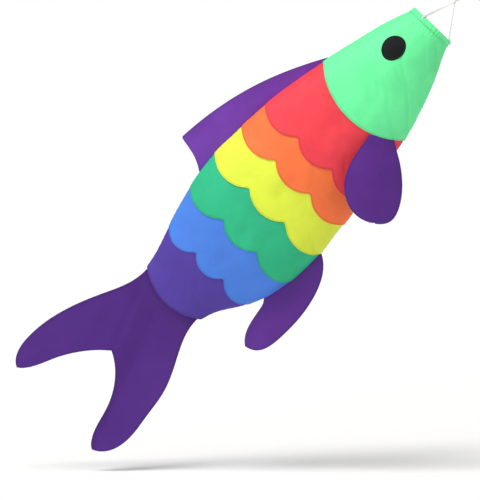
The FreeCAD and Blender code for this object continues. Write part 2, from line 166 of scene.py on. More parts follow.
class BodyShape:
    """Back height, belly depth and half thickness of the body, read from its panels."""

    PITCH = 5 * MM
    FAR = 0.4

    def __init__(self):
        nodes = [band + "_" + side for band in BANDS for side in SIDES]
        self.tree = tree_of(nodes)
        self.start = stations_of("head_panel_left")[0] + 1 * MM
        self.end = stations_of("rear_body_panel_left")[1] - 1 * MM
        count = int((self.end - self.start) / self.PITCH)
        self.rows = []
        for i in range(count + 1):
            row = self.measure(self.start + i * self.PITCH)
            self.rows.append(row or self.rows[-1])

    def reach_to(self, station, side, height, direction):
        origin = fish_point(station, side, height) - direction * self.FAR
        hit = self.tree.ray_cast(origin, direction, self.FAR)
        return None if hit[0] is None else self.FAR - hit[3]

    def measure(self, station):
        off_seam = 1.5 * MM
        back = self.reach_to(station, off_seam, 0.0, -UP)
        belly = self.reach_to(station, off_seam, 0.0, UP)
        if back is None or belly is None:
            return None
        half = self.reach_to(station, 0.0, (back - belly) / 2, -LEFT)
        return None if half is None else (back, belly, half)

    def at(self, station):
        """Centre height, half height and half thickness at a station."""
        place = (station - self.start) / self.PITCH
        i = max(0, min(len(self.rows) - 2, int(place)))
        a = self.rows[i]
        b = self.rows[i + 1]
        share = max(0.0, min(1.0, place - i))
        back, belly, half = (x + (y - x) * share for x, y in zip(a, b))
        return (back - belly) / 2, (back + belly) / 2, half

    def around(self, station, turn, side):
        """Centre of the section and a point of its outline, turn going from 0 at the back to pi."""
        centre, half_height, half_width = self.at(station)
        middle = fish_point(station, 0.0, centre)
        rim = fish_point(station, side * half_width * math.sin(turn),
                         centre + half_height * math.cos(turn))
        return middle, rim


BODY = BodyShape()


# ---- how the cloth lies

def wave(point, length, seed=0.0):
    """Smooth noise from -1 to 1 with features of about the given length."""
    return noise.noise(point / length + Vector((seed, 0.37 * seed, -seed)))


def fade(distance, reach):
    """1 at no distance, easing to 0 at reach."""
    t = max(0.0, min(1.0, 1.0 - distance / reach))
    return t * t * (3 - 2 * t)


def around_mouth(point):
    """Angle round the fish's axis, 0 at the back."""
    _, side, height = fish_place(point)
    return math.atan2(side, height)


TIE_ANGLES = [around_mouth(box_centre("bridle_tie_" + leg)) for leg in LEGS]


def tie_folds(point, settings):
    """Furrows that run back from the three ties, where the bridle pulls on the hem."""
    station = fish_place(point)[0]
    angle = around_mouth(point)
    depth = 0.0
    for tie_angle in TIE_ANGLES:
        apart = tie_angle - angle
        apart = abs(math.atan2(math.sin(apart), math.cos(apart))) * TIE_CIRCLE
        width = 5 * MM + 0.09 * station
        depth += math.exp(-(apart / width) ** 2) * fade(station, 130 * MM)
    return -settings.tie_fold * depth


def mouth_ripple(point):
    """Gathers drawn up by the hem, uneven round the mouth."""
    ripple = math.sin(MOUTH_RIPPLES * around_mouth(point) + 5 * wave(point, 24 * MM, 2.2))
    return ripple * (0.6 + wave(point, 20 * MM, 9.0))


def cloth_rise(point, settings, creased=True):
    """How far the body's cloth lies off its smooth shape, outwards."""
    station, side, height = fish_place(point)
    seam = abs(side)
    # broad hollows and smaller ones, both flat at the back and belly seams
    rise = settings.dent * wave(point, 95 * MM, 3.1) * fade(-seam + 40 * MM, 40 * MM)
    rise += 0.6 * settings.dent * wave(point, 38 * MM, 7.7) * (1 - fade(seam, 12 * MM))
    # narrow furrows, slanting across the body
    slanted = Vector((station * 0.9 + height * 0.5, side, height * 0.35 - station * 0.2))
    creases = ((80 * MM, 21.0), (47 * MM, 33.0)) if creased else ()
    for size, seed in creases:
        valley = max(0.0, 1 - 7 * abs(wave(slanted, size, seed)))
        share = max(0.0, 0.5 + wave(point, 90 * MM, seed + 5)) * (1 - fade(seam, 10 * MM))
        rise -= settings.crease * valley * valley * share
    # ripples beside the seams and the groove of the stitching
    gather = math.sin(station / (2.1 * MM) + 4 * wave(point, 30 * MM, 1.3)) * fade(seam, 16 * MM)
    rise += settings.seam_gather * gather * (0.5 + abs(wave(point, 60 * MM, 5.0)))
    rise -= settings.seam_groove * fade(seam, 5 * MM)
    behind_hem = max(0.0, station - 8 * MM)
    rise += settings.mouth_gather * mouth_ripple(point) * fade(behind_hem, 34 * MM)
    return rise + tie_folds(point, settings)


def spaced(count, length, hem, both_ends=False):
    """Shares of a length from 0 to 1, even but for close rows at the hem's end."""
    close = [x * hem / length for x in (1.15, 0.85, 0.5, 0.2)]
    main = 1.0 - close[0]
    start = close[0] if both_ends else 0.0
    shares = [start + (main - start) * i / count for i in range(count)]
    if both_ends:
        shares = [0.0] + close[:0:-1] + shares
    return shares + [1.0 - x for x in close] + [1.0]


def grid_sheet(name, columns, rows, place, free_edge, settings):
    """A sheet made from a flat grid: place(column, row) gives each point of the finished cloth.

    free_edge(column, row) tells which border points belong to a hemmed edge. The sheet carries
    its distance from that edge, its length along it, and a UV map measured along the cloth.
    """
    across = len(columns) - 1
    along = len(rows) - 1
    bm = bmesh.new()
    bmesh.ops.create_grid(bm, x_segments=across, y_segments=along, size=0.5)
    where = {}
    for v in bm.verts:
        where[v.index] = (round((v.co.x + 0.5) * across), round((v.co.y + 0.5) * along))
    grid = {}
    for v in bm.verts:
        i, j = where[v.index]
        v.co = place(columns[i], rows[j])
        grid[i, j] = v.co.copy()
    widths = {}
    lengths = {}
    for j in range(along + 1):
        widths[0, j] = 0.0
        for i in range(1, across + 1):
            widths[i, j] = widths[i - 1, j] + (grid[i, j] - grid[i - 1, j]).length
    for i in range(across + 1):
        lengths[i, 0] = 0.0
        for j in range(1, along + 1):
            lengths[i, j] = lengths[i, j - 1] + (grid[i, j] - grid[i, j - 1]).length
    uv = bm.loops.layers.uv.new("Cloth")
    for face in bm.faces:
        for loop in face.loops:
            i, j = where[loop.vert.index]
            loop[uv].uv = (widths[i, j], lengths[i, j])
    edge_layer = bm.verts.layers.float.new("edge")
    along_layer = bm.verts.layers.float.new("along")
    border = [(i, j) for i in range(across + 1) for j in range(along + 1)
              if (i in (0, across) or j in (0, along)) and free_edge(columns[i], rows[j])]
    finder = KDTree(len(border))
    for n, key in enumerate(border):
        finder.insert(grid[key], n)
    finder.balance()
    for v in bm.verts:
        v[edge_layer] = finder.find(v.co)[2] if border else 1.0
        i, j = where[v.index]
        v[along_layer] = widths[i, j] + lengths[i, j]
    area = sum(f.calc_area() for f in bm.faces)
    bmesh.ops.remove_doubles(bm, verts=bm.verts, dist=0.05 * MM)
    bmesh.ops.recalc_face_normals(bm, faces=bm.faces)
    obj = object_from(bm, name)
    add_hem_thickness(obj, settings)
    size = (max(widths.values()), max(lengths.values()))
    return obj, size, min(area, size[0] * size[1])


def object_from(bm, name):
    mesh = bpy.data.meshes.new(name)
    bm.to_mesh(mesh)
    bm.free()
    mesh.shade_smooth()
    obj = bpy.data.objects.new(name, mesh)
    bpy.context.scene.collection.objects.link(obj)
    return obj


def add_hem_thickness(obj, settings):
    """Single cloth in the middle and folded cloth at the hem, rounded by a subdivision."""
    group = obj.vertex_groups.new(name="hem")
    distances = obj.data.attributes["edge"].data
    for v in obj.data.vertices:
        past_hem = (distances[v.index].value - 0.9 * settings.hem) / (0.3 * settings.hem)
        group.add([v.index], 1.0 - max(0.0, min(1.0, past_hem)), "REPLACE")
    round_off = obj.modifiers.new("Rounding", "SUBSURF")
    round_off.levels = 1
    round_off.render_levels = 1
    wall = obj.modifiers.new("Cloth wall", "SOLIDIFY")
    wall.thickness = settings.hem_thickness
    wall.offset = 0.0
    wall.vertex_group = group.name
    wall.thickness_vertex_group = settings.thickness / settings.hem_thickness


# ---- shader helpers

def srgb(red, green, blue):
    """Linear colour from 0-255 display values."""
    def linear(value):
        v = value / 255
        return v / 12.92 if v <= 0.04045 else ((v + 0.055) / 1.055) ** 2.4
    return linear(red), linear(green), linear(blue)


def new_group(name, inputs, outputs):
    """An empty shader group; inputs and outputs are (name, socket type, default)."""
    tree = bpy.data.node_groups.new(name, "ShaderNodeTree")
    for label, kind, default in inputs:
        socket = tree.interface.new_socket(name=label, in_out="INPUT", socket_type=kind)
        if default is not None:
            socket.default_value = default
    for label, kind in outputs:
        tree.interface.new_socket(name=label, in_out="OUTPUT", socket_type=kind)
    return tree, tree.nodes.new("NodeGroupInput"), tree.nodes.new("NodeGroupOutput")


def feed(tree, socket, value):
    """Links value to a socket, or sets it as the socket's own value."""
    if isinstance(value, bpy.types.NodeSocket):
        tree.links.new(value, socket)
    else:
        socket.default_value = value


def calc(tree, operation, a, b=None, c=None):
    node = tree.nodes.new("ShaderNodeMath")
    node.operation = operation
    for socket, value in zip(node.inputs, (a, b, c)):
        if value is not None:
            feed(tree, socket, value)
    return node.outputs[0]


def remap(tree, value, low, high, to_low=0.0, to_high=1.0):
    node = tree.nodes.new("ShaderNodeMapRange")
    node.interpolation_type = "SMOOTHSTEP"
    feed(tree, node.inputs["Value"], value)
    feed(tree, node.inputs["From Min"], low)
    feed(tree, node.inputs["From Max"], high)
    feed(tree, node.inputs["To Min"], to_low)
    feed(tree, node.inputs["To Max"], to_high)
    return node.outputs["Result"]


def noise_of(tree, vector, scale, detail=2.0):
    node = tree.nodes.new("ShaderNodeTexNoise")
    feed(tree, node.inputs["Vector"], vector)
    feed(tree, node.inputs["Scale"], scale)
    feed(tree, node.inputs["Detail"], detail)
    return node.outputs["Fac"]


def mixed(tree, share, a, b, blend="MIX"):
    node = tree.nodes.new("ShaderNodeMix")
    node.data_type = "RGBA"
    node.blend_type = blend
    feed(tree, node.inputs[0], share)
    feed(tree, node.inputs[6], a)
    feed(tree, node.inputs[7], b)
    return node.outputs[2]


def times(tree, a, b):
    return calc(tree, "MULTIPLY", a, b)


def tone(colour, factor):
    """A colour made darker by a factor, as a shader takes it."""
    return (*(c * factor for c in colour), 1.0)


def object_place(tree):
    return tree.nodes.new("ShaderNodeTexCoord").outputs["Object"]


def give(tree, result, **values):
    """Links a group's results to its outputs."""
    for label, value in values.items():
        tree.links.new(value, result.inputs[label])


def place_group(tree, name, **values):
    node = tree.nodes.new("ShaderNodeGroup")
    node.node_tree = bpy.data.node_groups[name]
    for label, value in values.items():
        feed(tree, node.inputs[label.replace("_", " ")], value)
    return node


def make_weave_group():
    """Plain weave: threads over and under each other, with uneven yarn."""
    tree, given, result = new_group(
        "Plain weave",
        [("Cloth", "NodeSocketVector", None), ("Thread spacing", "NodeSocketFloat", 0.0006),
         ("Unevenness", "NodeSocketFloat", 0.3)],
        [("Height", "NodeSocketFloat"), ("Tint", "NodeSocketFloat")])
    split = tree.nodes.new("ShaderNodeSeparateXYZ")
    tree.links.new(given.outputs["Cloth"], split.inputs[0])
    turns = calc(tree, "DIVIDE", math.pi, given.outputs["Thread spacing"])
    warp, weft = (calc(tree, "SINE", times(tree, split.outputs[way], turns)) for way in "XY")
    over_under = times(tree, warp, weft)
    slubs = []
    for stretch in ((1.0, 0.06, 1.0), (0.06, 1.0, 1.0)):
        yarn = tree.nodes.new("ShaderNodeMapping")
        tree.links.new(given.outputs["Cloth"], yarn.inputs["Vector"])
        yarn.inputs["Scale"].default_value = stretch
        slubs.append(noise_of(tree, yarn.outputs[0], 900.0))
    slub = times(tree, calc(tree, "ADD", *slubs), 0.5)
    uneven = times(tree, slub, given.outputs["Unevenness"])
    height = calc(tree, "ADD", times(tree, over_under, 0.5), uneven)
    give(tree, result, Height=height, Tint=slub)


def make_hem_group():
    """A folded hem along a free edge, with a line of dashed stitches and a painted shadow line at the
    very edge.
    """
    tree, given, result = new_group(
        "Hem and stitches",
        [("Edge", "NodeSocketFloat", 1.0), ("Along", "NodeSocketFloat", 0.0),
         ("Hem width", "NodeSocketFloat", 0.006), ("Stitch length", "NodeSocketFloat", 0.003)],
        [("Hem", "NodeSocketFloat"), ("Rim", "NodeSocketFloat"), ("Stitch", "NodeSocketFloat"),
         ("Height", "NodeSocketFloat")])
    edge = given.outputs["Edge"]
    width = given.outputs["Hem width"]
    hem = remap(tree, edge, width, times(tree, width, 1.12), 1.0, 0.0)
    # painted shadow: a dark line along the last millimetre of a free edge, for the shadow the edge
    # casts
    rim = remap(tree, edge, 0.2 * MM, 1.4 * MM, 1.0, 0.0)
    line = calc(tree, "ABSOLUTE", calc(tree, "SUBTRACT", edge, times(tree, width, 0.8)))
    on_line = remap(tree, line, 0.15 * MM, 0.45 * MM, 1.0, 0.0)
    stitches = calc(tree, "DIVIDE", given.outputs["Along"], given.outputs["Stitch length"])
    from_middle = calc(tree, "SUBTRACT", calc(tree, "FRACT", stitches), 0.5)
    dash = remap(tree, calc(tree, "ABSOLUTE", from_middle), 0.3, 0.42, 1.0, 0.0)
    stitch = times(tree, on_line, dash)
    ditch = remap(tree, line, 0.0, 1.2 * MM, 1.0, 0.0)
    height = calc(tree, "SUBTRACT", times(tree, stitch, 1.2), ditch)
    give(tree, result, Hem=hem, Rim=rim, Stitch=stitch, Height=height)


def make_cord_group():
    """Braided strands that wind both ways round a cord, with painted shade in the grooves between them.
    """
    tree, given, result = new_group(
        "Braid",
        [("Place", "NodeSocketVector", None), ("Strand", "NodeSocketFloat", 0.0007)],
        [("Height", "NodeSocketFloat"), ("Tint", "NodeSocketFloat")])
    split = tree.nodes.new("ShaderNodeSeparateXYZ")
    tree.links.new(given.outputs["Place"], split.inputs[0])
    turns = calc(tree, "DIVIDE", math.pi, given.outputs["Strand"])
    one_way = calc(tree, "ADD", split.outputs["X"], split.outputs["Z"])
    other_way = calc(tree, "SUBTRACT", split.outputs["Y"], split.outputs["Z"])
    strands = (calc(tree, "ABSOLUTE", calc(tree, "SINE", times(tree, way, turns)))
               for way in (one_way, other_way))
    height = calc(tree, "MAXIMUM", *strands)
    # the tint is painted shade: low where the strands sink into the grooves
    give(tree, result, Height=height, Tint=remap(tree, height, 0.2, 0.9))


def new_material(name):
    material = bpy.data.materials.new(name)
    material.use_nodes = True
    tree = material.node_tree
    return material, tree, tree.nodes["Principled BSDF"]


def attribute(tree, name):
    node = tree.nodes.new("ShaderNodeAttribute")
    node.attribute_name = name
    return node.outputs["Fac"]


def bump(tree, shader, layers):
    """Chains bump layers, each (height, strength, distance), into the shader's normal."""
    below = None
    for height, strength, distance in layers:
        node = tree.nodes.new("ShaderNodeBump")
        node.inputs["Strength"].default_value = strength
        node.inputs["Distance"].default_value = distance
        tree.links.new(height, node.inputs["Height"])
        if below is not None:
            tree.links.new(below, node.inputs["Normal"])
        below = node.outputs["Normal"]
    tree.links.new(below, shader.inputs["Normal"])


def cloth_material(name, colour, thread, settings, edge_shadow_strength=0.3):
    """Thin woven polyester with a soft sheen, a darker double layer at the hem, stitches and a painted
    shadow line along free edges.
    """
    if name in bpy.data.materials:
        return bpy.data.materials[name]
    material, tree, shader = new_material(name)
    uv = tree.nodes.new("ShaderNodeUVMap")
    uv.uv_map = "Cloth"
    place = object_place(tree)
    weave = place_group(tree, "Plain weave", Cloth=uv.outputs[0], Thread_spacing=settings.thread,
                        Unevenness=0.35)
    hem = place_group(tree, "Hem and stitches", Edge=attribute(tree, "edge"),
                      Along=attribute(tree, "along"), Hem_width=settings.hem,
                      Stitch_length=settings.stitch)
    dye = noise_of(tree, place, 14.0, 3.0)
    lighter = (*(min(1.0, c * 1.10 + 0.006) for c in colour), 1.0)
    shade = mixed(tree, remap(tree, dye, 0.35, 0.65), tone(colour, 0.90), tone(colour, 1.0))
    # the third layer is painted shadow: a dark line along each free edge
    for mask, share, over in (
            (weave.outputs["Tint"], 0.5, lighter), (hem.outputs["Hem"], 0.3, tone(colour, 0.72)),
            (hem.outputs["Rim"], edge_shadow_strength, tone(colour, 0.45)),
            (hem.outputs["Stitch"], 0.7, tone(thread, 1.0))):
        shade = mixed(tree, times(tree, mask, share), shade, over)
    tree.links.new(shade, shader.inputs["Base Color"])
    tree.links.new(remap(tree, weave.outputs["Tint"], 0.3, 0.7, 0.62, 0.5), shader.inputs["Roughness"])
    shader.inputs["Sheen Weight"].default_value = 0.06
    shader.inputs["Sheen Roughness"].default_value = 0.4
    shader.inputs["Sheen Tint"].default_value = lighter
    shader.inputs["Specular IOR Level"].default_value = 0.16
    bump(tree, shader, [
        (noise_of(tree, place, 24.0, 4.0), 0.55, 3.0 * MM),
        (weave.outputs["Height"], 0.35, 0.10 * MM),
        (hem.outputs["Height"], 0.6, 0.35 * MM)])
    return material


def patterned_metal(name, colour, roughness):
    """Drawn or turned metal with fine marks and slightly worn plating."""
    material, tree, shader = new_material(name)
    place = object_place(tree)
    marks = noise_of(tree, place, 2600.0, 2.0)
    wear = remap(tree, noise_of(tree, place, 320.0, 4.0), 0.45, 0.7)
    plating = mixed(tree, wear, tone(colour, 1.0), tone(colour, 0.62))
    tree.links.new(plating, shader.inputs["Base Color"])
    dulled = calc(tree, "ADD", times(tree, wear, 0.2), roughness)
    tree.links.new(dulled, shader.inputs["Roughness"])
    shader.inputs["Metallic"].default_value = 1.0
    bump(tree, shader, [(marks, 0.25, 0.05 * MM)])
    return material


def cord_material(name, colour):
    if name in bpy.data.materials:
        return bpy.data.materials[name]
    material, tree, shader = new_material(name)
    place = object_place(tree)
    braid = place_group(tree, "Braid", Place=place, Strand=0.7 * MM)
    # painted shade: the braid's grooves darkened to 0.62 of the cord's colour
    strands = mixed(tree, braid.outputs["Tint"], tone(colour, 0.62), tone(colour, 1.0))
    tree.links.new(strands, shader.inputs["Base Color"])
    rough = remap(tree, noise_of(tree, place, 400.0), 0.3, 0.7, 0.6, 0.8)
    tree.links.new(rough, shader.inputs["Roughness"])
    shader.inputs["Sheen Weight"].default_value = 0.3
    bump(tree, shader, [(braid.outputs["Height"], 0.7, 0.15 * MM)])
    return material


def dress(obj, material):
    obj.data.materials.clear()
    obj.data.materials.append(material)


# ---- settings

def length(label, about, default):
    return FloatProperty(name=label, description=about, default=default,
                         subtype="DISTANCE", unit="LENGTH")


def strength_of(label, about, default):
    return FloatProperty(name=label, description=about, default=default)


def colour_of(label, about, default):
    return FloatVectorProperty(name=label, description=about, default=default, subtype="COLOR",
                               size=3, min=0.0, max=1.0)


class WindsockCloth(bpy.types.PropertyGroup):
    thickness: length("Cloth thickness", "Thickness of a single layer", 0.45 * MM)
    hem_thickness: length("Hem thickness", "Thickness of the folded hem", 1.1 * MM)
    hem: length("Hem width", "Width of a folded free edge", 4.0 * MM)
    stitch: length("Stitch length", "Length of one stitch with its gap", 3.2 * MM)
    thread: length("Thread spacing", "Spacing of the weave's threads", 0.55 * MM)
    dent: length("Dent depth", "Depth of the soft hollows in the body", 3.4 * MM)
    crease: length("Crease depth", "Depth of the creases left by folding", 2.2 * MM)
    seam_gather: length("Seam gather", "Height of the ripples at the back and belly seams", 0.5 * MM)
    seam_groove: length("Seam groove", "Depth of the sewn groove", 0.7 * MM)
    mouth_gather: length("Mouth gather", "Height of the gathers behind the mouth hem", 1.1 * MM)
    tie_fold: length("Tie fold", "Depth of the furrows behind the bridle's ties", 2.2 * MM)
    flare: length("Flap flare", "How far the scales' free edges stand off", 1.6 * MM)


class WindsockColours(bpy.types.PropertyGroup):
    head: colour_of("Head", "Cloth of the head", srgb(108, 240, 158))
    red: colour_of("Red", "First row of scales", srgb(234, 66, 78))
    orange: colour_of("Orange", "Second row of scales", srgb(244, 117, 64))
    yellow: colour_of("Yellow", "Third row of scales", srgb(218, 232, 68))
    green: colour_of("Green", "Fourth row of scales", srgb(45, 178, 128))
    blue: colour_of("Blue", "Fifth row of scales", srgb(73, 126, 218))
    rear: colour_of("Rear body", "Plain rear body", srgb(80, 59, 152))
    back_fin: colour_of("Dorsal fin", "Fin on the back", srgb(112, 58, 166))
    fin: colour_of("Fins", "Pectoral and anal fins", srgb(90, 45, 137))
    tail: colour_of("Tail", "Forked tail", srgb(77, 37, 124))
    eye: colour_of("Eye", "Eye patches", srgb(5, 8, 6))
    cord: colour_of("Cord", "Bridle cord", srgb(236, 236, 232))
    steel: colour_of("Steel", "Swivel and hoop", srgb(196, 194, 188))


class WindsockStage(bpy.types.PropertyGroup):
    view_height: length("View height", "Height of the view at the fish", 1.12)
    aim_behind: length("Aim behind", "How far behind the mouth the camera is aimed", 0.428)
    aim_below: length("Aim below", "How far below the mouth the camera is aimed", 0.502)
    lens: FloatProperty(name="Lens", description="Focal length of the camera in mm", default=380.0)
    elevation: FloatProperty(name="Elevation", description="Camera's height angle", subtype="ANGLE",
                             default=math.radians(3.5))
    floor_gap: length("Floor gap", "Air under the tail's lowest point", 0.045)
    key: strength_of("Key light", "Strength of the soft overhead light", 2.65)
    fill: strength_of("Fill light", "Strength of the soft light from the front", 0.85)
    ambient: strength_of("Ambient", "Strength of the light from all round", 0.27)


class Windsock(bpy.types.PropertyGroup):
    cloth: PointerProperty(type=WindsockCloth)
    colours: PointerProperty(type=WindsockColours)
    stage: PointerProperty(type=WindsockStage)


def settings_of(context):
    return context.scene.windsock


# ---- stage and cords

class WINDSOCK_OT_stage(bpy.types.Operator):
    """Camera, pale floor and soft light"""
    bl_idname = "windsock.stage"
    bl_label = "Stage"

    def execute(self, context):
        s = settings_of(context).stage
        context.scene.view_settings.view_transform = "Standard"
        low = Vector(CAD_BOX[0])
        centre = Vector((MOUTH.x - s.aim_behind, 0.0, MOUTH.z - s.aim_below))
        sensor = 36.0
        away = s.view_height * s.lens / sensor
        camera = bpy.data.objects.new("Camera", bpy.data.cameras.new("Camera"))
        camera.data.lens = s.lens
        camera.data.clip_end = 60.0
        view = Vector((0.0, math.cos(s.elevation), -math.sin(s.elevation)))
        camera.location = centre - view * away
        camera.rotation_euler = view.to_track_quat("-Z", "Y").to_euler()
        context.scene.collection.objects.link(camera)
        context.scene.camera = camera

        bm = bmesh.new()
        bmesh.ops.create_grid(bm, x_segments=8, y_segments=8, size=9.0)
        bmesh.ops.translate(bm, verts=bm.verts, vec=(centre.x, 0.0, low.z - s.floor_gap))
        floor = object_from(bm, "floor")
        material, _, shader = new_material("Pale floor")
        shader.inputs["Base Color"].default_value = (0.96, 0.96, 0.96, 1.0)
        shader.inputs["Roughness"].default_value = 0.9
        dress(floor, material)

        lights = [
            ("Key light", (-0.30, -0.34, 0.90), 38.0, s.key, (1.0, 0.99, 0.97)),
            ("Fill light", (-0.50, -0.80, 0.30), 50.0, s.fill, (0.98, 0.99, 1.0)),
        ]
        for name, source, spread, strength, colour in lights:
            lamp = bpy.data.lights.new(name, "SUN")
            lamp.angle = math.radians(spread)
            lamp.energy = strength
            lamp.color = colour
            obj = bpy.data.objects.new(name, lamp)
            obj.location = centre + Vector(source) * 3
            obj.rotation_euler = (-Vector(source)).to_track_quat("-Z", "Y").to_euler()
            context.scene.collection.objects.link(obj)
        world = bpy.data.worlds.new("Soft studio")
        world.use_nodes = True
        tree = world.node_tree
        ambient = tree.nodes["Background"]
        ambient.inputs["Color"].default_value = (1.0, 1.0, 1.0, 1.0)
        ambient.inputs["Strength"].default_value = s.ambient
        seen = tree.nodes.new("ShaderNodeBackground")
        seen.inputs["Color"].default_value = (1.0, 1.0, 1.0, 1.0)
        choose = tree.nodes.new("ShaderNodeMixShader")
        tree.links.new(tree.nodes.new("ShaderNodeLightPath").outputs["Is Camera Ray"], choose.inputs[0])
        tree.links.new(ambient.outputs[0], choose.inputs[1])
        tree.links.new(seen.outputs[0], choose.inputs[2])
        tree.links.new(choose.outputs[0], tree.nodes["World Output"].inputs["Surface"])
        context.scene.world = world
        return {"FINISHED"}


def leg_ends(leg):
    """Centre line of a leg: the middles of the mesh's two ends."""
    mesh = frame["nodes"]["bridle_leg_" + leg].data
    apex = box_centre("bridle_knot")
    points = sorted((v.co.copy() for v in mesh.vertices), key=lambda p: (p - apex).length)
    count = max(3, len(points) // 6)  # a sixth of the points, nearest to each end
    near = sum(points[:count], Vector()) / count
    far = sum(points[-count:], Vector()) / count
    return far, near


class WINDSOCK_OT_bridle_legs(bpy.types.Operator):
    """Three taut cords from the mouth's hem to the bridle's knot"""
    bl_idname = "windsock.bridle_legs"
    bl_label = "Bridle legs"

    def execute(self, context):
        s = settings_of(context)
        diameter = 1.8 * MM
        for leg in LEGS:
            start, end = leg_ends(leg)
            along = (end - start).normalized()
            into_knot = along * 1.2 * MM
            start = start - into_knot
            end = end + into_knot
            data = bpy.data.curves.new("bridle_cord_" + leg, "CURVE")
            data.dimensions = "3D"
            data.bevel_depth = diameter / 2
            data.bevel_resolution = 4
            data.resolution_u = 6
            data.use_fill_caps = True
            spline = data.splines.new("NURBS")
            count = 5
            spline.points.add(count - 1)
            for i in range(count):
                spline.points[i].co = (*start.lerp(end, i / (count - 1)), 1.0)
            spline.order_u = 3
            spline.use_endpoint_u = True
            cord = bpy.data.objects.new(data.name, data)
            context.scene.collection.objects.link(cord)
            dress(cord, cord_material("Bridle cord", s.colours.cord))
            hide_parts("bridle_leg_" + leg)
            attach(cord, "fish")
            tuple(start)
        return {"FINISHED"}


def cord_ring(bm, centre, axis, radius, thickness, steps=28, sides=8):
    """One closed turn of cord round an axis."""
    axis = axis.normalized()
    outward = axis.orthogonal().normalized()
    place = Matrix.Translation(centre + outward * radius)
    circle = bmesh.ops.create_circle(bm, segments=sides, radius=thickness / 2)["verts"]
    flat = Matrix((outward, axis, outward.cross(axis))).transposed().to_4x4()
    bmesh.ops.transform(bm, matrix=place @ flat, verts=circle)
    edges = list(dict.fromkeys(e for v in circle for e in v.link_edges))
    bmesh.ops.spin(bm, geom=circle + edges, cent=centre, axis=axis, angle=math.tau, steps=steps,
                   use_merge=True, use_duplicate=False)


class WINDSOCK_OT_bridle_knots(bpy.types.Operator):
    """Ties round the hem and the knot that joins the legs to the swivel"""
    bl_idname = "windsock.bridle_knots"
    bl_label = "Bridle knots"

    def execute(self, context):
        s = settings_of(context)
        apex = box_centre("bridle_knot") - FORWARD * 2.0 * MM
        diameter = 1.7 * MM
        round_hem, round_cord, round_knot, round_eye = 4.7 * MM, 1.25 * MM, 1.9 * MM, 3.3 * MM
        for leg in LEGS:
            bm = bmesh.new()
            knot, _ = leg_ends(leg)
            _, side, height = fish_place(box_centre("bridle_tie_" + leg))
            outward = (LEFT * side + UP * height).normalized()
            centre = MOUTH + outward * HOOP_RADIUS
            around = outward.cross(FORWARD).normalized()
            for shift in (-0.85, 0.85):
                cord_ring(bm, centre + around * shift * MM, around, round_hem, diameter)
            along = (apex - knot).normalized()
            for i in range(3):
                shift = (i * 1.5 - 2.4) * MM
                cord_ring(bm, knot + along * shift, along, round_cord, diameter, 18)
            finish_knot(bm, "bridle_tie_cord_" + leg, "bridle_tie_" + leg, s)
        bm = bmesh.new()
        for i in range(4):
            shift = (i * 1.6 - 2.6) * MM
            cord_ring(bm, apex + FORWARD * shift, FORWARD, round_knot, diameter, 22)
        for tilt in (-0.5, 0.5):
            loop = apex + FORWARD * 5.2 * MM
            cord_ring(bm, loop + UP * tilt * MM, UP, round_eye, 1.3 * MM, 26)
        finish_knot(bm, "bridle_knot_cord", "bridle_knot", s)
        return {"FINISHED"}


def finish_knot(bm, name, node, s):
    bmesh.ops.remove_doubles(bm, verts=bm.verts, dist=0.02 * MM)
    bmesh.ops.recalc_face_normals(bm, faces=bm.faces)
    knot = object_from(bm, name)
    dress(knot, cord_material("Bridle cord", s.colours.cord))
    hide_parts(node)
    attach(knot, "fish")


# ---- body cloth

def meridian_hit(tree, station, turn, side):
    """Point of one panel's outer face on a meridian of the body."""
    middle, rim = BODY.around(station, turn, side)
    outward = (rim - middle).normalized()
    origin = middle + outward * PANEL_REACH
    return tree.ray_cast(origin, -outward, PANEL_REACH)[0]


def meridian_ends(tree, first, last, turn, side):
    """Stations at which a meridian of the panel starts and ends."""
    step = 3 * MM
    count = int((last - first) / step) + 1
    on = [first + i * step for i in range(count + 1)
          if meridian_hit(tree, first + i * step, turn, side) is not None]
    ends = []
    for inside, outside in ((on[0], on[0] - step), (on[-1], on[-1] + step)):
        for _ in range(9):  # halvings, to under a hundredth of a millimetre
            middle = (inside + outside) / 2
            if meridian_hit(tree, middle, turn, side) is not None:
                inside = middle
            else:
                outside = middle
        ends.append(inside)
    return ends


def darker_thread(colour):
    return tuple(c * 0.55 for c in colour)


def make_panel(band, side_name, s):
    """One half band of body cloth over its frame node, with columns on the scallops' cusps."""
    side = SIDES[side_name]
    node = band + "_" + side_name
    tree = tree_of([node])
    first, last = stations_of(node)
    cusps = [math.acos(1 / 3), math.acos(-1 / 3)]  # three scallops of equal height
    off_seam = 0.012  # radians
    marks = [off_seam] + cusps + [math.pi - off_seam]
    turns = []
    for a, b, count in zip(marks, marks[1:], (22, 15, 22)):
        turns += [a + (b - a) * i / count for i in range(count)]
    turns.append(marks[-1])
    ends = {t: meridian_ends(tree, first - 1 * MM, last + 1 * MM, t, side) for t in turns}
    longest = max(b - a for a, b in ends.values())
    rows = spaced(max(12, int(longest / (5 * MM))), longest, s.cloth.hem)

    def place(turn, share):
        a, b = ends[turn]
        station = a + (b - a) * share
        middle, rim = BODY.around(station, turn, side)
        hit = meridian_hit(tree, station, turn, side) or rim
        outward = (rim - middle).normalized()
        half_wall = 0.5 * MM
        point = hit - outward * half_wall
        point += outward * cloth_rise(hit, s.cloth)
        from_end = (1 - share) * (b - a)
        if band != "rear_body_panel":
            lift = fade(from_end, 30 * MM) * (0.75 + 0.5 * wave(hit, 26 * MM, 11.0))
            point += outward * s.cloth.flare * lift * math.sin(turn) ** 0.5
        if turn in (turns[0], turns[-1]):
            point -= LEFT * point.dot(LEFT)
        return point

    obj, size, area = grid_sheet(
        band + "_cloth_" + side_name, turns, rows, place, lambda turn, share: share == 1.0, s.cloth)
    colour_name = band.split("_")[0]
    colour = getattr(s.colours, colour_name)
    dress(obj, cloth_material(colour_name.capitalize() + " cloth", colour,
                              darker_thread(colour), s.cloth))
    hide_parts(node)
    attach(obj, "fish")
    ahead = "mouth_hoop"
    if band != "head_panel":
        ahead = BANDS[BANDS.index(band) - 1] + "_cloth_" + side_name


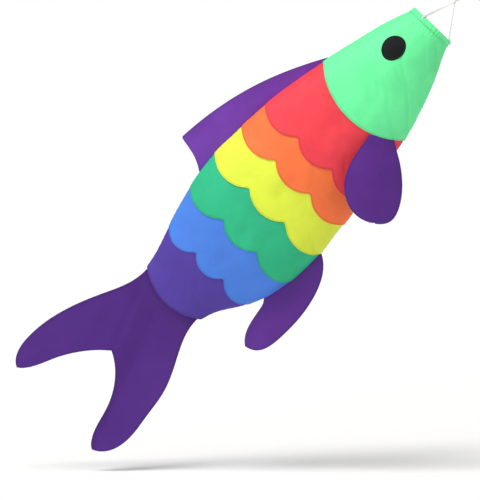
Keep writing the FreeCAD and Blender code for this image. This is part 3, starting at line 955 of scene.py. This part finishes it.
class WINDSOCK_OT_body(bpy.types.Operator):
    """Head, rows of scales and rear body, each in a left and a right half"""
    bl_idname = "windsock.body"
    bl_label = "Body cloth"

    def execute(self, context):
        s = settings_of(context)
        for side_name in SIDES:
            for band in BANDS:
                make_panel(band, side_name, s)
        return {"FINISHED"}


class WINDSOCK_OT_eyes(bpy.types.Operator):
    """Oval eye patches with a raised satin-stitched rim"""
    bl_idname = "windsock.eyes"
    bl_label = "Eyes"

    def execute(self, context):
        s = settings_of(context)
        inside = 0.997                     # share of the frame's patch, to stay within it
        rim_place, rim_width = 0.955, 0.04  # shares of the way from the middle to the edge
        clearance = 0.8 * MM
        for side_name, side in SIDES.items():
            node = "eye_patch_" + side_name
            head = tree_of(["head_panel_" + side_name])
            places = [fish_place(v.co) for v in frame["nodes"][node].data.vertices]
            stations = [p[0] for p in places]
            heights = [p[2] for p in places]
            middle = ((min(stations) + max(stations)) / 2, (min(heights) + max(heights)) / 2)
            half = ((max(stations) - min(stations)) / 2, (max(heights) - min(heights)) / 2)
            bm = bmesh.new()
            bmesh.ops.create_circle(bm, segments=72, radius=1.0, cap_ends=True)
            face = next(iter(bm.faces))
            ring_widths = [0.025, 0.035, 0.04] + [0.065] * 13
            for thickness in ring_widths:
                bmesh.ops.inset_region(bm, faces=[face], thickness=thickness,
                                       use_boundary=True, use_even_offset=False)
            bmesh.ops.poke(bm, faces=[face])
            uv = bm.loops.layers.uv.new("Cloth")
            edge = bm.verts.layers.float.new("edge")
            along = bm.verts.layers.float.new("along")
            for v in bm.verts:
                from_middle = min(1.0, v.co.length)
                angle = math.atan2(v.co.y, v.co.x)
                station = middle[0] + half[0] * inside * v.co.x
                height = middle[1] + half[1] * inside * v.co.y
                for loop in v.link_loops:
                    loop[uv].uv = (station, height)
                origin = fish_point(station, side * SPAN_REACH, height)
                hit = head.ray_cast(origin, -LEFT * side, SPAN_REACH)[0]
                outward = (hit - fish_point(station, 0.0, BODY.at(station)[0])).normalized()
                rim = math.exp(-((from_middle - rim_place) / rim_width) ** 2) * 0.5 * MM
                v[edge] = (1.0 - from_middle) * half[1]
                v[along] = angle * half[1]
                v.co = hit + outward * (cloth_rise(hit, s.cloth, creased=False) + rim + clearance)
            bmesh.ops.recalc_face_normals(bm, faces=bm.faces)
            obj = object_from(bm, "eye_cloth_" + side_name)
            if obj.data.polygons[0].normal.dot(LEFT * side) < 0:
                obj.data.flip_normals()
            wall = obj.modifiers.new("Cloth wall", "SOLIDIFY")
            wall.thickness = s.cloth.thickness
            wall.offset = -1.0
            dress(obj, cloth_material("Eye cloth", s.colours.eye, srgb(48, 54, 54), s.cloth))
            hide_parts(node)
            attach(obj, "fish")
        return {"FINISHED"}


class WINDSOCK_OT_mouth_hem(bpy.types.Operator):
    """Gathered casing round the hoop, with its two stitched legs"""
    bl_idname = "windsock.mouth_hem"
    bl_label = "Mouth hem"

    def execute(self, context):
        s = settings_of(context)
        bm = bmesh.new()
        tree = tree_of(["mouth_hem"])
        back = stations_of("mouth_hem")[1] - 0.3 * MM
        wall = 0.8 * MM
        casing = 3.0 * MM
        reach = 0.1
        points = []
        for share in (1.0, 0.8, 0.6, 0.42):
            station = back * share
            hit = tree.ray_cast(fish_point(station, 0.0, reach), -UP, reach)[0]
            points.append((station, fish_place(hit)[2] - wall / 2 - 0.7 * MM * station / back))
        for degrees in range(60, 331, 30):  # round the hoop's wire
            a = math.radians(degrees)
            points.append((casing * math.cos(a), HOOP_RADIUS + casing * math.sin(a)))
        flare = (points[0][1] - points[3][1]) / (points[0][0] - points[3][0])
        for station in (back * 0.5, back * 0.75, back):
            points.append((station, HOOP_RADIUS - wall + flare * station))
        verts = [bm.verts.new(fish_point(station, 0.0, radius)) for station, radius in points]
        edges = [bm.edges.new(pair) for pair in zip(verts, verts[1:])]
        bmesh.ops.spin(bm, geom=verts + edges, cent=MOUTH, axis=FORWARD, angle=math.tau,
                       steps=300, use_merge=True, use_duplicate=False)
        bmesh.ops.remove_doubles(bm, verts=bm.verts, dist=0.05 * MM)
        uv = bm.loops.layers.uv.new("Cloth")
        edge = bm.verts.layers.float.new("edge")
        along = bm.verts.layers.float.new("along")
        for v in bm.verts:
            station, side, height = fish_place(v.co)
            angle = math.atan2(side, height)
            outward = (LEFT * side + UP * height).normalized()
            fine = math.sin(118 * angle + 6 * wave(v.co, 12 * MM, 4.4))
            lift = 0.75 * MM * mouth_ripple(v.co) + 0.16 * MM * fine
            v[edge] = abs(back - station)
            v[along] = angle * HOOP_RADIUS
            share = 1.0 if math.hypot(side, height) > HOOP_RADIUS else 0.4
            pucker = 0.3 * MM * fine * fade(abs(station), 4 * MM)
            v.co += outward * lift * share - FORWARD * pucker
        for face in bm.faces:
            for loop in face.loops:
                station, side, height = fish_place(loop.vert.co)
                loop[uv].uv = (math.atan2(side, height) * HOOP_RADIUS, station)
        bmesh.ops.recalc_face_normals(bm, faces=bm.faces)
        obj = object_from(bm, "mouth_hem_cloth")
        solid = obj.modifiers.new("Cloth wall", "SOLIDIFY")
        solid.thickness = 0.6 * MM
        solid.offset = 0.0
        colour = s.colours.head
        dress(obj, cloth_material("Head cloth", colour, darker_thread(colour), s.cloth))
        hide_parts("mouth_hem")
        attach(obj, "fish")
        return {"FINISHED"}


# ---- fins

def eased(count, both_ends=False):
    """Shares from 0 to 1 that crowd towards a rounded end, or towards both."""
    shares = [i / count for i in range(count + 1)]
    if both_ends:
        return [(1 - math.cos(math.pi * t)) / 2 for t in shares]
    return [math.sin(math.pi / 2 * t) for t in shares]


def finish_fin(obj, node, child, start, end, colour, material, size, area, held_by, s):
    # the fins' free edges take a stronger painted shadow line than the body's
    dress(obj, cloth_material(material, colour, tuple(c * 0.5 for c in colour), s.cloth, 0.75))
    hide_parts(node)
    tuple(start)
    tuple(end)
    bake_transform(obj)


def blend_across(hinge, outward, before, after):
    """Points before and after a sewn root's hinge, along the given direction."""
    place = Vector(hinge["pos_m"])
    return place - outward * before, place + outward * after


class WINDSOCK_OT_back_and_belly_fins(bpy.types.Operator):
    """Dorsal and anal fins, sewn into the back and belly seams"""
    bl_idname = "windsock.back_and_belly_fins"
    bl_label = "Dorsal and anal fins"

    def execute(self, context):
        s = settings_of(context)
        for child, towards, sway, colour, material, held_by in (
                ("dorsal", 1.0, 5.0 * MM, s.colours.back_fin, "Dorsal fin cloth",
                 "red_scale_row_cloth_left"),
                ("anal", -1.0, -7.0 * MM, s.colours.fin, "Fin cloth",
                 "green_scale_row_cloth_left")):
            node = child + "_fin"
            tree = tree_of([node])
            first, last = stations_of(node)
            ease = eased(50, both_ends=child == "anal")
            columns = [first + 0.8 * MM + (last - first - 1.0 * MM) * t for t in ease]
            outward = UP * towards
            spans = {}
            for station in columns:
                origin = fish_point(station, OFF_PLANE, FIN_REACH * towards)
                found = crossings(tree, origin, -outward, FIN_REACH)
                if len(found) < 2:
                    raise RuntimeError(f"{node} isn't crossed twice at {station}: {found}")
                root = FIN_REACH - found[1]
                # the root reaches into the seam wherever it stands close to it
                centre, half_height, _ = BODY.at(station)
                seam = half_height + centre * towards
                root -= (root - seam + 5 * MM) * fade(root - seam - 1.5 * MM, 8 * MM)
                spans[station] = (root, FIN_REACH - found[0])
            deepest = max(b - a for a, b in spans.values())
            rows = spaced(int(deepest / (5 * MM)), deepest, s.cloth.hem)
            flat_start = first + (last - first) * 0.5

            def place(station, share):
                root, tip = spans[station]
                depth = share * (tip - root)
                point = fish_point(station, 0.0, towards * (root + depth))
                loose = fade(70 * MM - depth, 70 * MM)
                curl = sway * math.sin((station - flat_start) / (95 * MM)) * loose
                ripple = 1.5 * MM * wave(point, 42 * MM, 6.0) * fade(25 * MM - depth, 25 * MM)
                gather = 0.35 * MM * math.sin(station / (1.9 * MM)) * fade(depth, 14 * MM)
                return point + LEFT * (curl + ripple + gather)

            def free(station, share):
                return share == 1.0 or (station == columns[-1] and share > 0.12)

            obj, size, area = grid_sheet(node + "_cloth", columns, rows, place, free, s.cloth)
            hinge = joint(node + "_flop")
            across = Vector(hinge["axis"]).cross(LEFT).normalized()
            if across.dot(outward) < 0:
                across.negate()
            start, end = blend_across(hinge, across, 10 * MM, 25 * MM)
            finish_fin(obj, node, child, start, end, colour, material, size, area, held_by, s)
        return {"FINISHED"}


class WINDSOCK_OT_pectoral_fins(bpy.types.Operator):
    """Egg-shaped pectoral fins that hang from the head's rear edge"""
    bl_idname = "windsock.pectoral_fins"
    bl_label = "Pectoral fins"

    def execute(self, context):
        s = settings_of(context)
        for side_name, side in SIDES.items():
            node = "pectoral_fin_" + side_name
            hinge = joint("pectoral_" + side_name + "_lift")
            root = Vector(hinge["pos_m"])
            axis = Vector(hinge["axis"]).normalized()
            points = [v.co for v in frame["nodes"][node].data.vertices]
            centroid = sum(points, Vector()) / len(points)
            drop = centroid - root
            drop -= axis * drop.dot(axis)
            drop.normalize()
            outward = axis.cross(drop)
            if outward.dot(LEFT * side) < 0:
                outward.negate()
            tree = tree_of([node])
            depth = max((p - root).dot(drop) for p in points)
            depths = [0.3 * MM + (depth - 0.42 * MM) * t for t in eased(32)]
            spans = {}
            for d in depths:
                middle = root + drop * d
                found = crossings(tree, middle - axis * SPAN_REACH, axis, 2 * SPAN_REACH)
                spans[d] = (found[0] - SPAN_REACH, found[-1] - SPAN_REACH)
            widest = max(b - a for a, b in spans.values())
            shares = spaced(26, widest, s.cloth.hem, both_ends=True)
            body = tree_of(["red_scale_row_" + side_name])

            def place(share, d):
                low, high = spans[d]
                x = low + (high - low) * share
                point = root + drop * d + axis * x
                bow = 7 * MM * (1 - (2 * share - 1) ** 2) * fade(60 * MM - d, 60 * MM)
                ripple = 2.0 * MM * wave(point, 60 * MM, 8.0) * fade(50 * MM - d, 50 * MM)
                if d == depths[0]:  # the root lies against the body, under the head's edge
                    tucked = body.find_nearest(point)
                    return tucked[0] + LEFT * side * 0.4 * MM + FORWARD * 4 * MM
                return point + outward * (bow + ripple)

            def free(share, d):
                return d != depths[0] and (share in (0.0, 1.0) or d == depths[-1])

            obj, size, area = grid_sheet(node + "_cloth", shares, depths, place, free, s.cloth)
            start, end = blend_across(hinge, drop, 2 * MM, 26 * MM)
            finish_fin(obj, node, "pectoral_" + side_name, start, end, s.colours.fin, "Fin cloth",
                       size, area, "head_panel_cloth_" + side_name, s)
        return {"FINISHED"}


class WINDSOCK_OT_tail_fin(bpy.types.Operator):
    """Two plies of forked tail, tucked into the open end of the body"""
    bl_idname = "windsock.tail_fin"
    bl_label = "Tail fin"

    def execute(self, context):
        s = settings_of(context)
        for side_name, side in SIDES.items():
            make_tail_ply(side_name, side, s)
        return {"FINISHED"}


def tail_crossings(tree, station, ply, towards=1.0):
    """Where a line down the tail, or up it for towards -1, meets its edges."""
    origin = fish_point(station, ply, SPAN_REACH * towards)
    return crossings(tree, origin, -UP * towards, 2 * SPAN_REACH)


def tail_notch(tree, ply, first, last):
    """Station and height of the fork's innermost point."""
    step = 1 * MM
    station = first + 0.6 * (last - first)
    while station > first:
        if len(tail_crossings(tree, station, ply)) < 4:
            behind = tail_crossings(tree, station + step, ply)
            return station, SPAN_REACH - (behind[1] + behind[2]) / 2
        station -= step
    raise RuntimeError("the tail has no fork")


def rounding(from_tip, radius):
    """How far each edge draws in near a rounded tip."""
    q = max(0.0, min(1.0, 1 - from_tip / radius))
    return radius * (1 - math.sqrt(1 - q * q))


def make_tail_ply(side_name, side, s):
    node = "tail_fin_ply_" + side_name
    tree = tree_of([node])
    first, last = stations_of(node)
    ply = box_centre(node).y + OFF_PLANE
    fork, fork_height = tail_notch(tree, ply, first, last)
    lobes = []
    for towards in (1.0, -1.0):
        reach = [fish_place(v.co)[0] for v in frame["nodes"][node].data.vertices
                 if (fish_place(v.co)[2] - fork_height) * towards > 0]
        tip = max(reach)
        start = first + 0.3 * MM
        ahead = 46  # columns shared by both lobes, ahead of the fork
        stations = [start + (fork - start) * i / ahead for i in range(ahead)]
        stations += [fork, fork + 1 * MM, fork + 2.5 * MM]
        stations += [fork + 5 * MM + (tip - 0.12 * MM - fork - 5 * MM) * t for t in eased(34)]
        spans = {}
        for station in stations:
            found = tail_crossings(tree, station, ply, towards)
            outer = SPAN_REACH * towards - found[0] * towards
            inner = SPAN_REACH * towards - found[1] * towards
            if station <= fork:
                inner = fork_height
            round_off = rounding(tip - station, 9 * MM)
            round_off = min(round_off, abs(outer - inner) * 0.48)
            outer -= towards * round_off
            if station > fork:
                inner += towards * round_off
            spans[station] = (inner, outer)
        lobes.append((towards, stations, spans))
    made = []
    for towards, stations, spans in lobes:
        widest = max(abs(b - a) for a, b in spans.values())
        rows = spaced(14, widest, s.cloth.hem, both_ends=True)

        def place(station, share):
            inner, outer = spans[station]
            height = inner + (outer - inner) * share
            point = fish_point(station, ply, height)
            behind = max(0.0, station - first - 30 * MM)
            loose = fade(160 * MM - behind, 160 * MM)
            sway = 6 * MM * math.sin(behind / (120 * MM) + 0.6) * loose
            curl = 5 * MM * towards * ((height - fork_height) / (120 * MM)) ** 2 * loose
            # a fold runs from the fork to the upper corner of the root
            fold_height = fork_height + (fork - station) * 0.34
            folded = fade(60 * MM - behind, 60 * MM) if station < fork else 1.0
            fold = 0.2 * max(0.0, min(fold_height - height, 60 * MM)) * folded
            fold += 2.5 * MM * math.exp(-((height - fold_height) / (10 * MM)) ** 2) * folded
            ripple = 2.2 * MM * wave(fish_point(station, 0.0, height), 70 * MM, 12.0) * loose
            return point + LEFT * (sway + curl + fold + ripple + side * 0.15 * MM)

        def free(station, share):
            return share == 1.0 or (share == 0.0 and station >= fork) or station == stations[-1]

        made.append(grid_sheet(node + "_part", stations, rows, place, free, s.cloth))
    obj = join_lobes(node + "_cloth", [m[0] for m in made], s)
    heights = [fish_place(v.co)[2] for v in frame["nodes"][node].data.vertices]
    size = (last - first, max(heights) - min(heights))
    area = sum(m[2] for m in made)
    hinge = joint("tail_sway")
    start, end = blend_across(hinge, -FORWARD, 6 * MM, 26 * MM)
    finish_fin(obj, node, "tail", start, end, s.colours.tail, "Tail cloth", size, area,
               "rear_body_panel_cloth_" + side_name, s)


def join_lobes(name, parts, s):
    """One ply from its two lobes, merged along the line ahead of the fork."""
    bm = bmesh.new()
    for part in parts:
        bm.from_mesh(part.data)
        bpy.data.objects.remove(part)
    bmesh.ops.remove_doubles(bm, verts=bm.verts, dist=0.05 * MM)
    bmesh.ops.recalc_face_normals(bm, faces=bm.faces)
    obj = object_from(bm, name)
    add_hem_thickness(obj, s.cloth)
    return obj


# ---- metal

class WINDSOCK_OT_metal(bpy.types.Operator):
    """Finishes of the swivel, hoop and ferrule"""
    bl_idname = "windsock.metal"
    bl_label = "Swivel and hoop"

    def execute(self, context):
        steel = settings_of(context).colours.steel
        plated = patterned_metal("Plated steel", steel, 0.28)
        wire = patterned_metal("Spring wire", tuple(c * 0.8 for c in steel), 0.35)
        for node in ("swivel_hanging_eye", "swivel_barrel", "swivel_lower_eye"):
            dress(frame["nodes"][node], plated)
        for node in ("mouth_hoop", "hoop_ferrule"):
            dress(frame["nodes"][node], wire)
        return {"FINISHED"}


# ---- add-on

OPERATORS = (
    WINDSOCK_OT_stage, WINDSOCK_OT_bridle_legs, WINDSOCK_OT_bridle_knots, WINDSOCK_OT_body,
    WINDSOCK_OT_eyes, WINDSOCK_OT_mouth_hem, WINDSOCK_OT_back_and_belly_fins,
    WINDSOCK_OT_pectoral_fins, WINDSOCK_OT_tail_fin, WINDSOCK_OT_metal)


class WINDSOCK_PT_panel(bpy.types.Panel):
    """Lists the windsock's pieces and sizes"""
    bl_idname = "WINDSOCK_PT_panel"
    bl_label = "Fish windsock"
    bl_space_type = "VIEW_3D"
    bl_region_type = "UI"
    bl_category = "Windsock"

    def draw(self, context):
        for operator in OPERATORS:
            self.layout.operator(operator.bl_idname)
        settings = settings_of(context)
        for group in (settings.cloth, settings.colours, settings.stage):
            column = self.layout.column()
            for name in group.__annotations__:
                column.prop(group, name)


CLASSES = (WindsockCloth, WindsockColours, WindsockStage, Windsock) + OPERATORS + (WINDSOCK_PT_panel,)


def register():
    for cls in CLASSES:
        bpy.utils.register_class(cls)
    bpy.types.Scene.windsock = PointerProperty(type=Windsock)


def unregister():
    del bpy.types.Scene.windsock
    for cls in reversed(CLASSES):
        bpy.utils.unregister_class(cls)


def main():
    register()
    make_weave_group()
    make_hem_group()
    make_cord_group()
    for operator in OPERATORS:
        module, action = operator.bl_idname.split(".")
        getattr(getattr(bpy.ops, module), action)()
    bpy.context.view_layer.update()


if __name__ == "__main__":
    main()
